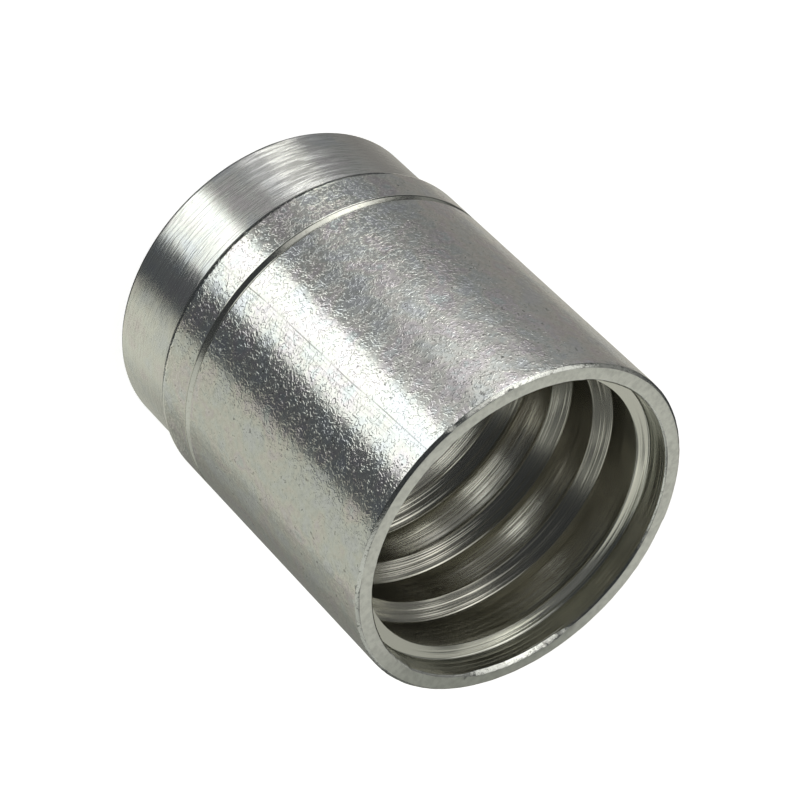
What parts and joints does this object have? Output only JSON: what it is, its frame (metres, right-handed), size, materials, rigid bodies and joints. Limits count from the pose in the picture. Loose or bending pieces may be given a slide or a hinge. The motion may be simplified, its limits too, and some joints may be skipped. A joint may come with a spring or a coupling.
{
  "type": "crimp hose ferrule",
  "caption": "Plated steel crimp sleeve with a turned neck, a scored ring, an open mouth and a toothed bore, squeezed onto a hose over a fitting stem.",
  "frame": {"origin": "centre of the neck's end face, on which the ferrule stands", "axes": "+Z along the ferrule's axis, from the neck's end to the hose mouth; X and Y are free, as it is round"},
  "size_m": [0.028, 0.028, 0.0334],
  "materials": {
    "plated_steel": "zinc plated, drawn tube skin outside, turned neck and bore"
  },
  "bodies": {
    "root": {"ferrule": "plated_steel"}
  },
  "joints": []
}
